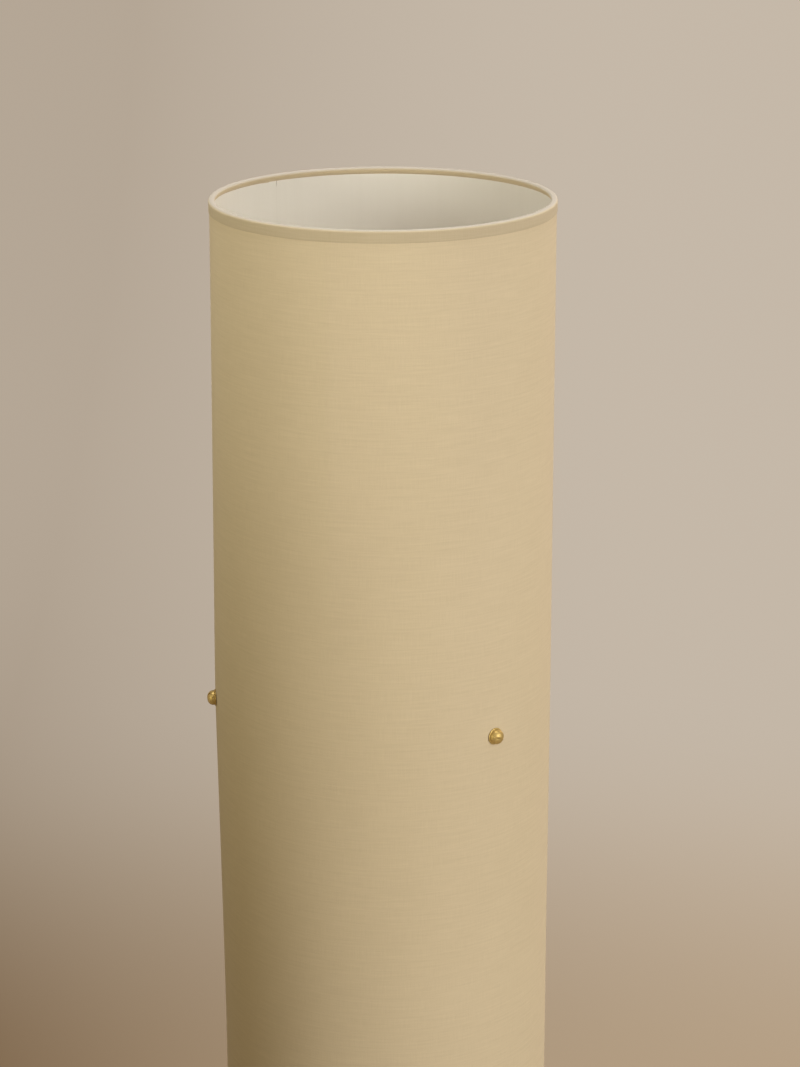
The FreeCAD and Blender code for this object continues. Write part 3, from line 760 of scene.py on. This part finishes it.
def move_points(piece, step_of):
    """Move a turned piece's points along their radii, by what step_of(radius, height, angle) says."""
    for vertex in piece.data.vertices:
        place = vertex.co
        radius = math.hypot(place.x, place.y)
        step = step_of(radius, place.z, math.atan2(place.y, place.x))
        if step:
            grow = 1 + step / radius
            vertex.co = (place.x * grow, place.y * grow, place.z)


def faded(place, low, high, reach):
    """1 between two ends, falling to 0 towards each of them."""
    return min(1.0, (place - low) / reach, (high - place) / reach)


def winding(height, angle, pitch):
    """A right-hand thread's wave, from 0 to 1."""
    return 0.5 + 0.5 * math.cos(math.tau * height / pitch - angle)


def cut_thread(piece, low, high, pitch, depth, thread_radius):
    """Cut a right-hand thread into the part of a turned piece that lies near a radius."""
    def step_of(radius, height, angle):
        if not (low < height < high and abs(radius - thread_radius) < depth * 0.5):
            return 0
        return -depth * faded(height, low, high, pitch) * winding(height, angle, pitch)

    move_points(piece, step_of)


def set_in_place(piece, place):
    """Move a finished mesh to its place and leave its object at the origin."""
    piece.data.transform(place)
    piece.matrix_world = Matrix.Identity(4)


def on_arm(azimuth):
    """The frame whose +Z points outwards along an arm and whose +Y is up."""
    out, up = outward(azimuth), Vector((0, 0, 1))
    turned = Matrix((up.cross(out), up, out)).transposed().to_4x4()
    return Matrix.Translation((0, 0, SCREW_HEIGHT)) @ turned


def aged_brass():
    """Turned brass: fine tool marks round it and a thin uneven tarnish."""
    bright, dull = (0.62, 0.46, 0.185), (0.44, 0.32, 0.12)
    finish = Finish("aged brass", bright, 0.50, Metallic=1.0)
    lathe = finish.node("ShaderNodeUVMap", {"uv_map": "turned"}, {})
    marks = finish.mottle(finish.stretched(lathe, (40, 9000, 1)), 1.0, 2.0, 0.5)
    stain = finish.mottle(finish.place(), 260.0, 4.0, 0.6)
    finish.set("Base Color", finish.mix(((stain - 0.5) * 2.6 + 0.5).clamp(), bright, dull))
    finish.set("Roughness", (stain * 0.22 + marks * 0.10 + 0.36).clamp())
    finish.set("Normal", finish.bump(marks + stain * 0.4, 0.00002, 0.35))
    return finish


brass = aged_brass()


def shade_screw(side):
    """Turn one screw, cut its slot and thread, and set it in its boss."""
    point, corner, quarter = 0.0004, 0.00035, SCREW_PITCH / 4
    seat = CLOTH_RADIUS + BULGE + HEAD_GAP
    tip = seat - SCREW_LENGTH
    face = seat + HEAD_HEIGHT
    threads_end = seat - 0.0012
    stations = [(0, tip), (SHANK_RADIUS - point, tip), (SHANK_RADIUS, tip + point)]
    steps = int((threads_end - tip - point) / quarter)
    stations += [(SHANK_RADIUS, tip + point + (index + 1) * quarter) for index in range(steps)]
    stations += [(SHANK_RADIUS, seat), (HEAD_RADIUS - 0.00045, seat)]
    stations += bend((HEAD_RADIUS - corner, seat + corner), corner, -60, 0, 3)
    waist = seat + HEAD_SIDE
    for step in range(DOME_STEPS + 1):
        lean = math.radians(step * DOME_LEAN)
        stations.append((HEAD_RADIUS * math.cos(lean) ** 0.9, waist + (face - waist) * math.sin(lean)))
    stations.append((0, face))
    screw = turn(side + "_brass_screw", stations, TURNED_SIDES, 40)
    cut_thread(screw, tip + 0.0001, threads_end, SCREW_PITCH, THREAD_DEPTH, SHANK_RADIUS)
    map_turned(screw)
    pick_none()
    bpy.ops.mesh.primitive_cube_add(size=1, location=(0, 0, face))
    saw = bpy.context.object
    saw.scale = (4 * HEAD_RADIUS, SLOT_WIDTH, 2 * SLOT_DEPTH)
    slot = screw.modifiers.new("slot", "BOOLEAN")
    slot.operation, slot.solver, slot.object = "DIFFERENCE", "EXACT", saw
    soft = screw.modifiers.new("soft edge", "BEVEL")
    soft.width, soft.segments = 0.00011, 2
    soft.limit_method, soft.angle_limit = "ANGLE", math.radians(38)
    apply_all(screw)
    bpy.data.objects.remove(saw)
    bpy.ops.object.shade_smooth_by_angle(angle=math.radians(35))
    spin = Matrix.Rotation(math.radians(SCREW_TURN[side]), 4, "Z")
    set_in_place(screw, on_arm(SCREW_AZIMUTH[side]) @ spin)
    screw.data.materials.clear()
    screw.data.materials.append(brass.material)
    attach(screw, side + "_screw")
    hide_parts(side + "_shade_screw")


def screw_washer(side):
    """A thin stamped washer with softened edges."""
    seat = CLOTH_RADIUS + BULGE + WASHER_GAP
    bore, soft = SHANK_RADIUS + 0.00015, 0.0001
    top = seat + WASHER
    stations = [(bore, seat + soft), (bore + soft, seat), (WASHER_RADIUS - soft, seat),
                *bend((WASHER_RADIUS - 0.0003, seat + 0.0004), 0.0003, -40, 70, 4),
                (bore + soft, top), (bore, top - soft), (bore, seat + soft)]
    washer = turn(side + "_brass_washer", stations, TURNED_SIDES, 40)
    map_turned(washer)
    set_in_place(washer, on_arm(SCREW_AZIMUTH[side]))
    washer.data.materials.append(brass.material)
    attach(washer, side + "_washer")
    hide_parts(side + "_screw_washer")


for side in SCREW_AZIMUTH:
    shade_screw(side)
    screw_washer(side)


# ---------------------------------------------------------------- Arms and bosses
# Three powder-coated rods stand out from a turned hub on the stem, and each carries a plated
# and tapped boss on its end, drawn tight against the lining by its screw.
def coat(name, colour, roughness, grain=1500.0, depth=0.00004):
    """Powder coat or moulded surface: an even colour over a fine orange peel."""
    finish = Finish(name, colour, roughness, Specular_IOR_Level=0.45)
    peel = finish.mottle(finish.place(), grain, 2.0, 0.45)
    cloud = finish.mottle(finish.place(), 22.0, 3.0, 0.5)
    finish.set("Base Color", finish.mix(cloud, scaled(colour, 0.955), colour))
    finish.set("Roughness", (cloud * 0.08 + peel * 0.06 + roughness - 0.07).clamp())
    finish.set("Normal", finish.bump(peel, depth, 0.5))
    return finish


white_paint = coat("white powder coat", (0.66, 0.62, 0.54), 0.42)


def dress(node, finish):
    """Give a carried-over solid its finish."""
    solid = bpy.data.objects[node]
    solid.data.materials.clear()
    solid.data.materials.append(finish.material)


dress("arm_bosses", zinc)
for node in ("arms", "arm_hub"):
    dress(node, white_paint)


# ---------------------------------------------------------------- Stem, nipple and small hardware
# A painted steel tube stands in a turned foot.  A hollow threaded nipple in its mouth ties stem,
# hub and lampholder together, and the nut, grub screws and foot screws are plated.
for node in ("stem_tube", "stem_flange"):
    dress(node, white_paint)
for node in ("stem_top_insert", "stem_nipple", "hub_lock_nut", "grub_screws", "flange_screws"):
    dress(node, zinc)


# ---------------------------------------------------------------- Base, pad and cord entry
# A painted steel disc on a felt pad.  The mains flex enters through a rubber bush at the back,
# is held by a plated bar in its channel and climbs the stem; its two cores spread at the top.
def pressed_felt():
    """Grey wool felt: matted fibres in every direction."""
    dark, light = (0.018, 0.017, 0.016), (0.060, 0.056, 0.052)
    finish = Finish("grey felt", dark, 0.95, Sheen_Weight=0.3, Sheen_Roughness=0.7)
    fibre = finish.mottle(finish.stretched(finish.place(), (900, 160, 500)), 1.0, 5.0, 0.7)
    matted = finish.mottle(finish.stretched(finish.place(), (170, 850, 500)), 1.0, 5.0, 0.7)
    finish.set("Base Color", finish.mix(fibre * 0.5 + matted * 0.5, dark, light))
    finish.set("Normal", finish.bump(fibre + matted, 0.0004, 0.7))
    return finish


dress("base_weight", white_paint)
dress("felt_pad", pressed_felt())
dress("cord_bush", coat("black rubber", (0.018, 0.017, 0.016), 0.62, 900.0))
for node in ("cord_grip", "cord_grip_screws"):
    dress(node, zinc)
dress("inner_flex", coat("white sheath", (0.62, 0.60, 0.56), 0.48, 700.0))


def core_sleeves():
    """The two cores' insulation: brown on one side of the stem, blue on the other."""
    brown, blue = (0.10, 0.045, 0.02), (0.02, 0.06, 0.22)
    finish = Finish("core sleeves", brown, 0.4)
    sideways = finish.node("ShaderNodeSeparateXYZ", {}, {0: finish.place()})
    finish.set("Base Color", finish.mix((sideways * 4000).clamp(), brown, blue))
    return finish


dress("flex_cores", core_sleeves())


# ---------------------------------------------------------------- Lampholder
# A moulded white holder in two halves: a cup on the nipple and a ribbed skirt screwed over it.
# Inside sit a ceramic core, a sprung brass contact and a drawn nickel shell with its thread.
HOLDER_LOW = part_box("holder_cap")[0][2]
HOLDER_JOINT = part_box("holder_cap")[1][2]
HOLDER_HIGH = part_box("holder_skirt")[1][2]
SHELL_LOW, SHELL_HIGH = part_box("holder_thread_shell")[0][2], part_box("holder_thread_shell")[1][2]
HOLDER_RADIUS = 0.0190
HOLDER_WALL = 0.0016
HOLDER_EDGE = 0.0003
NECK_RADIUS = 0.0085
NECK_LIP = 0.0006
NIPPLE_RADIUS = 0.00505
CUP_ROUND = 0.0085      # the cup's shoulder
CUP_SHOULDER = HOLDER_LOW + 0.0205
RIBS = 36
RIB_DEPTH = 0.00045
RIB_FADE = 0.0008
CAP_PITCH = 0.003629    # the standard thread of holder and bulb
SHELL_INSIDE = 0.0131
SHELL_WALL = 0.0005
SHELL_MOUTH = 0.0065
SHELL_THREAD = 0.0006

holder_plastic = coat("white holder moulding", (0.70, 0.68, 0.62), 0.30, 500.0, 0.00001)


def moulded(piece, finish, body, node):
    """Finish a piece and let it stand for its solid."""
    piece.data.materials.clear()
    piece.data.materials.append(finish.material)
    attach(piece, body)
    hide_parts(node)


def rib(piece, low, high):
    """Press shallow grip ribs into the outside of the holder."""
    def step_of(radius, height, angle):
        if not (low < height < high and radius > HOLDER_RADIUS - 0.0004):
            return 0
        return -RIB_DEPTH * (0.5 - 0.5 * math.cos(RIBS * angle)) * faded(height, low, high, RIB_FADE)

    move_points(piece, step_of)


def upright(radius, heights):
    """Stations of a straight wall."""
    return [(radius, height) for height in heights]


inside = HOLDER_RADIUS - HOLDER_WALL
holder_cup = turn("holder_cup", [
    (NIPPLE_RADIUS, HOLDER_LOW), (NECK_RADIUS - NECK_LIP, HOLDER_LOW),
    *bend((NECK_RADIUS - NECK_LIP, HOLDER_LOW + NECK_LIP), NECK_LIP, -60, 0, 3),
    (NECK_RADIUS, HOLDER_LOW + 0.0075),
    *bend((NECK_RADIUS + 0.0030, HOLDER_LOW + 0.0075), 0.0030, 180, 120, 5),
    *bend((HOLDER_RADIUS - CUP_ROUND, CUP_SHOULDER), CUP_ROUND, -52, 0, 9),
    *upright(HOLDER_RADIUS, [CUP_SHOULDER + step * 0.0009 for step in range(1, 8)]),
    (HOLDER_RADIUS, HOLDER_JOINT - HOLDER_EDGE), (HOLDER_RADIUS - HOLDER_EDGE, HOLDER_JOINT),
    (inside, HOLDER_JOINT), (inside, HOLDER_LOW + 0.0210), (0.0109, HOLDER_LOW + 0.0122),
    (NIPPLE_RADIUS, HOLDER_LOW + 0.0100), (NIPPLE_RADIUS, HOLDER_LOW)], RIBS * 6, 35)
rib(holder_cup, CUP_SHOULDER - 0.0010, HOLDER_JOINT - 0.0004)
moulded(holder_cup, holder_plastic, "root", "holder_cap")

joint = HOLDER_JOINT + 0.0001
collar_edge, skirt_lip = 0.0004, 0.0006
holder_skirt = turn("holder_skirt_moulding", [
    (inside, joint), (HOLDER_RADIUS + 0.0005, joint),
    *bend((HOLDER_RADIUS + 0.0005, joint + collar_edge), collar_edge, -60, 0, 3),
    *bend((HOLDER_RADIUS + 0.0005, joint + 0.0028), collar_edge, 0, 70, 3),
    (HOLDER_RADIUS + 0.0001, joint + 0.0040),
    *upright(HOLDER_RADIUS, [joint + 0.0046 + step * 0.0010 for step in range(24)]),
    (HOLDER_RADIUS, HOLDER_HIGH - 0.0021), (HOLDER_RADIUS + 0.0003, HOLDER_HIGH - 0.0016),
    *bend((HOLDER_RADIUS + 0.0001, HOLDER_HIGH - skirt_lip), skirt_lip, -30, 90, 6),
    (inside + HOLDER_EDGE, HOLDER_HIGH), (inside, HOLDER_HIGH - HOLDER_EDGE),
    (inside, joint)], RIBS * 6, 35)
rib(holder_skirt, joint + 0.0044, HOLDER_HIGH - 0.0025)
moulded(holder_skirt, holder_plastic, "root", "holder_skirt")


def roll_shell(radius, height, angle):
    """Roll the thread into both faces of the holder's shell."""
    if not (radius > SHELL_INSIDE - 0.0001 and SHELL_LOW + 0.0008 < height < SHELL_HIGH - 0.0002):
        return 0
    return SHELL_THREAD * faded(height, SHELL_LOW, SHELL_HIGH, 0.002) * winding(height, angle, CAP_PITCH)


nickel = plated("nickel plate", (0.66, 0.62, 0.55), (0.50, 0.46, 0.40), 0.24)
shell_outside, shell_floor = SHELL_INSIDE + SHELL_WALL, SHELL_LOW + SHELL_WALL
shell_rings = [SHELL_LOW + 0.0009 + step * CAP_PITCH / 8 for step in range(38)]
shell_rings = [height for height in shell_rings if height < SHELL_HIGH - 0.0003]
thread_shell = turn("lampholder_shell", [
    (SHELL_MOUTH, SHELL_LOW), *upright(shell_outside, [SHELL_LOW, *shell_rings, SHELL_HIGH]),
    *upright(SHELL_INSIDE, [SHELL_HIGH, *reversed(shell_rings), shell_floor]),
    (SHELL_MOUTH, shell_floor), (SHELL_MOUTH, SHELL_LOW)], 72, 40)
move_points(thread_shell, roll_shell)
moulded(thread_shell, nickel, "root", "holder_thread_shell")
dress("holder_core", coat("unglazed ceramic", (0.68, 0.64, 0.56), 0.75, 2200.0, 0.00006))
dress("holder_contact", plated("sprung brass", (0.62, 0.43, 0.16), (0.45, 0.30, 0.11), 0.3))


# ---------------------------------------------------------------- Bulb
# A round opal bulb on a white housing with cooling ribs.  Its nickel cap carries the rolled
# screw thread, with a black insulator and a soldered tip below.
TIP_LOW, TIP_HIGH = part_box("bulb_tip")[0][2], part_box("bulb_tip")[1][2]
CAP_LOW, CAP_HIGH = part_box("bulb_cap")[0][2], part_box("bulb_cap")[1][2]
COLLAR_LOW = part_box("bulb_collar")[0][2]
COLLAR_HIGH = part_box("bulb_collar")[1][2]
GLASS_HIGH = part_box("bulb_envelope")[1][2]
GLASS_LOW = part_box("bulb_envelope")[0][2]
GLASS_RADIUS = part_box("bulb_envelope")[1][0]
GLASS_WALL = 0.0012
TIP_RADIUS = 0.0046
TIP_ROUND = 0.0014
CAP_RADIUS = 0.01305
CAP_WALL = 0.0005
CAP_THREAD = 0.0009
CAP_MOUTH = 0.0070
COLLAR_RADIUS = 0.0225
COLLAR_WALL = 0.0018
COLLAR_STEP = 0.0001    # it starts this far above the cap
COLLAR_LIP = 0.0004     # and stands out this far past it
COLLAR_RINGS = 26
COOLING_RIBS = 28
COOLING_DEPTH = 0.0007
COOLING_FROM, COOLING_TO, COOLING_FADE = 0.10, 0.88, 0.08       # shares of the housing's height

tip = turn("bulb_solder_tip", [
    (0, TIP_LOW), (0.0012, TIP_LOW + 0.00008), *bend((0.0026, TIP_LOW + TIP_ROUND), TIP_ROUND, -80, -10, 6),
    *upright(TIP_RADIUS, [TIP_LOW + 0.0017, TIP_HIGH]), (0, TIP_HIGH)], 40, 30)
moulded(tip, nickel, "bulb_foot", "bulb_tip")

cap_rings = [CAP_LOW + 0.0032 + step * CAP_PITCH / 10 for step in range(60)]
cap_rings = [height for height in cap_rings if height < CAP_HIGH - 0.0030]
cap_inside = CAP_RADIUS - CAP_WALL
bulb_cap = turn("bulb_screw_cap", [
    (CAP_MOUTH, CAP_LOW), (0.0100, CAP_LOW + 0.0012), (CAP_RADIUS - 0.0009, CAP_LOW + 0.0024),
    *upright(CAP_RADIUS, [*cap_rings, CAP_HIGH - 0.0002]), (cap_inside, CAP_HIGH),
    *upright(cap_inside - CAP_THREAD, [CAP_HIGH - 0.0030, CAP_LOW + 0.0035]),
    *upright(CAP_MOUTH, [CAP_LOW + 0.0007, CAP_LOW])], 72, 40)
cut_thread(bulb_cap, CAP_LOW + 0.0028, CAP_HIGH - 0.0026, CAP_PITCH, CAP_THREAD, CAP_RADIUS)
moulded(bulb_cap, nickel, "bulb", "bulb_cap")
dress("bulb_insulator", coat("black insulator", (0.012, 0.012, 0.014), 0.18, 300.0, 0.00001))
dress("bulb_led_plate", coat("white circuit board", (0.66, 0.66, 0.62), 0.35, 400.0, 0.00001))

housing_plastic = coat("white housing", (0.70, 0.69, 0.66), 0.33, 600.0, 0.00001)
spigot = CAP_RADIUS - 0.0006 - CAP_THREAD * 0.6
spigot_inside = spigot - COLLAR_WALL
rise = COLLAR_HIGH - CAP_HIGH


def flared(foot, share):
    """The housing's radius at a share of its height: a trumpet from its foot to its rim."""
    return foot + (COLLAR_RADIUS - foot) * (0.42 * share + 0.58 * max(0.0, share) ** 2.1)


def cooling_ribs(radius, height, angle):
    """Press shallow grooves into the housing, with flat ribs between them."""
    share = (height - CAP_HIGH) / rise
    if not (COOLING_FROM < share < COOLING_TO and radius > flared(CAP_RADIUS, share) - 0.0006):
        return 0
    groove = max(0.0, math.cos(COOLING_RIBS * angle)) ** 0.5
    return -COOLING_DEPTH * groove * faded(share, COOLING_FROM, COOLING_TO, COOLING_FADE)


flare = []
for step in range(COLLAR_RINGS + 1):
    share = step / COLLAR_RINGS
    height = CAP_HIGH + COLLAR_STEP + (rise - COLLAR_STEP) * share
    flare.append((flared(CAP_RADIUS + COLLAR_LIP, share), height))
within = [(radius - COLLAR_WALL, height) for radius, height in reversed(flare[6:])]
collar = turn("bulb_housing", [
    *upright(spigot, [COLLAR_LOW, CAP_HIGH + COLLAR_STEP]), *flare, *within,
    *upright(spigot_inside, [CAP_HIGH + 0.0020, COLLAR_LOW]), (spigot, COLLAR_LOW)], COOLING_RIBS * 6, 35)
move_points(collar, cooling_ribs)
moulded(collar, housing_plastic, "bulb", "bulb_collar")

opal = Finish("opal bulb", (0.80, 0.78, 0.73), 0.32, Specular_IOR_Level=0.5, Coat_Weight=0.25,
              Coat_Roughness=0.12)
milk = opal.mottle(opal.place(), 35.0, 2.0, 0.5)
opal.set("Base Color", opal.mix(milk, (0.765, 0.745, 0.695), (0.82, 0.80, 0.755)))


def glass_side():
    """From the mouth up the narrowing neck to the widest circle, then over the half sphere."""
    mouth = COLLAR_RADIUS - 0.0002
    middle = GLASS_HIGH - GLASS_RADIUS
    drop = middle - GLASS_LOW
    centre = (mouth ** 2 + drop ** 2 - GLASS_RADIUS ** 2) / (2 * (mouth - GLASS_RADIUS))
    reach = GLASS_RADIUS - centre
    lean = math.degrees(math.asin(drop / reach))
    neck = bend((centre, middle), reach, -lean, 0, 12)
    dome = bend((0, middle), GLASS_RADIUS, 0, 90, 24)
    return neck + dome[1:-1] + [(0, GLASS_HIGH)]


envelope = turn("bulb_glass", glass_side(), 96, 60)
thick = envelope.modifiers.new("glass", "SOLIDIFY")
thick.thickness, thick.offset = GLASS_WALL, -1
apply_all(envelope)
moulded(envelope, opal, "bulb", "bulb_envelope")
